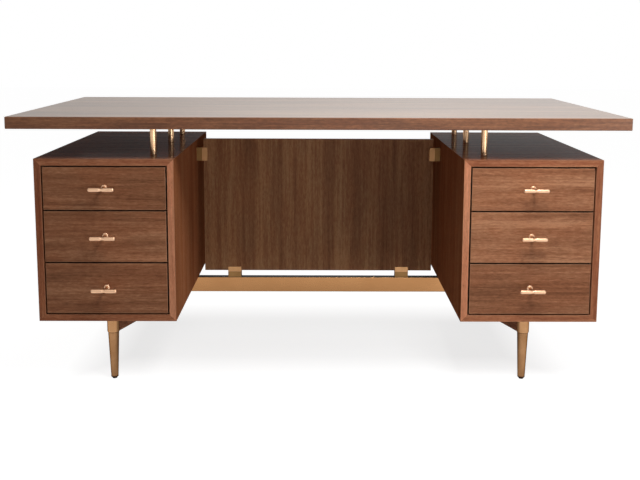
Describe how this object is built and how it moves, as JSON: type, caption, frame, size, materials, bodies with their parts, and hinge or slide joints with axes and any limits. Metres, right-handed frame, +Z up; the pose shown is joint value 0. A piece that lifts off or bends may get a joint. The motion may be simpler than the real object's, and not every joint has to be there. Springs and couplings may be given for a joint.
{
  "type": "pedestal desk",
  "caption": "Writing desk: a thick walnut slab held on round brass posts above pedestals of inset drawers, with turned brass legs, a brass bar and a clipped modesty panel.",
  "frame": {"origin": "on the floor, under the middle of the slab", "axes": "+X along the desk's length to the sitter's right, +Y from the sitter to the back, +Z up"},
  "size_m": [1.676, 0.762, 0.768],
  "materials": {
    "slab_walnut": "satin lacquer",
    "case_walnut": "satin lacquer",
    "drawer_walnut": "satin lacquer",
    "panel_walnut": "satin lacquer",
    "arm_walnut": "satin lacquer",
    "box_wood": "clear matt lacquer",
    "bar_brass": "brushed satin",
    "turned_brass": "polished",
    "pull_brass": "satin",
    "leg_brass": "satin",
    "slide_steel": "zinc plated",
    "glide": "moulded, matt"
  },
  "bodies": {
    "desk": {"desktop": "slab_walnut", "slab_posts": "turned_brass", "left_case_top": "case_walnut", "left_case_bottom": "case_walnut", "left_case_outer_side": "case_walnut", "left_case_inner_side": "case_walnut", "left_case_back": "case_walnut", "left_slide_channels": "slide_steel", "left_front_arm": "arm_walnut", "left_rear_arm": "arm_walnut", "right_case_top": "case_walnut", "right_case_bottom": "case_walnut", "right_case_outer_side": "case_walnut", "right_case_inner_side": "case_walnut", "right_case_back": "case_walnut", "right_slide_channels": "slide_steel", "right_front_arm": "arm_walnut", "right_rear_arm": "arm_walnut", "front_legs": "leg_brass", "rear_legs": "leg_brass", "modesty_panel": "panel_walnut", "panel_clips": "bar_brass", "clip_blocks": "bar_brass", "stretcher_bar": "bar_brass", "leg_glides": "glide"},
    "left_lower_drawer": {"left_lower_drawer_front": "drawer_walnut", "left_lower_drawer_box": "box_wood", "left_lower_drawer_bottom": "box_wood", "left_lower_drawer_pull": "pull_brass", "left_lower_drawer_runners": "slide_steel"},
    "left_middle_drawer": {"left_middle_drawer_front": "drawer_walnut", "left_middle_drawer_box": "box_wood", "left_middle_drawer_bottom": "box_wood", "left_middle_drawer_pull": "pull_brass", "left_middle_drawer_runners": "slide_steel"},
    "left_upper_drawer": {"left_upper_drawer_front": "drawer_walnut", "left_upper_drawer_box": "box_wood", "left_upper_drawer_bottom": "box_wood", "left_upper_drawer_pull": "pull_brass", "left_upper_drawer_runners": "slide_steel"},
    "right_lower_drawer": {"right_lower_drawer_front": "drawer_walnut", "right_lower_drawer_box": "box_wood", "right_lower_drawer_bottom": "box_wood", "right_lower_drawer_pull": "pull_brass", "right_lower_drawer_runners": "slide_steel"},
    "right_middle_drawer": {"right_middle_drawer_front": "drawer_walnut", "right_middle_drawer_box": "box_wood", "right_middle_drawer_bottom": "box_wood", "right_middle_drawer_pull": "pull_brass", "right_middle_drawer_runners": "slide_steel"},
    "right_upper_drawer": {"right_upper_drawer_front": "drawer_walnut", "right_upper_drawer_box": "box_wood", "right_upper_drawer_bottom": "box_wood", "right_upper_drawer_pull": "pull_brass", "right_upper_drawer_runners": "slide_steel"}
  },
  "joints": [
    {"name": "left_lower_drawer_slide", "type": "slide", "parent": "desk", "child": "left_lower_drawer", "axis": [0, -1, 0], "range_m": [0, 0.38]},
    {"name": "left_middle_drawer_slide", "type": "slide", "parent": "desk", "child": "left_middle_drawer", "axis": [0, -1, 0], "range_m": [0, 0.38]},
    {"name": "left_upper_drawer_slide", "type": "slide", "parent": "desk", "child": "left_upper_drawer", "axis": [0, -1, 0], "range_m": [0, 0.38]},
    {"name": "right_lower_drawer_slide", "type": "slide", "parent": "desk", "child": "right_lower_drawer", "axis": [0, -1, 0], "range_m": [0, 0.38]},
    {"name": "right_middle_drawer_slide", "type": "slide", "parent": "desk", "child": "right_middle_drawer", "axis": [0, -1, 0], "range_m": [0, 0.38]},
    {"name": "right_upper_drawer_slide", "type": "slide", "parent": "desk", "child": "right_upper_drawer", "axis": [0, -1, 0], "range_m": [0, 0.38]}
  ]
}
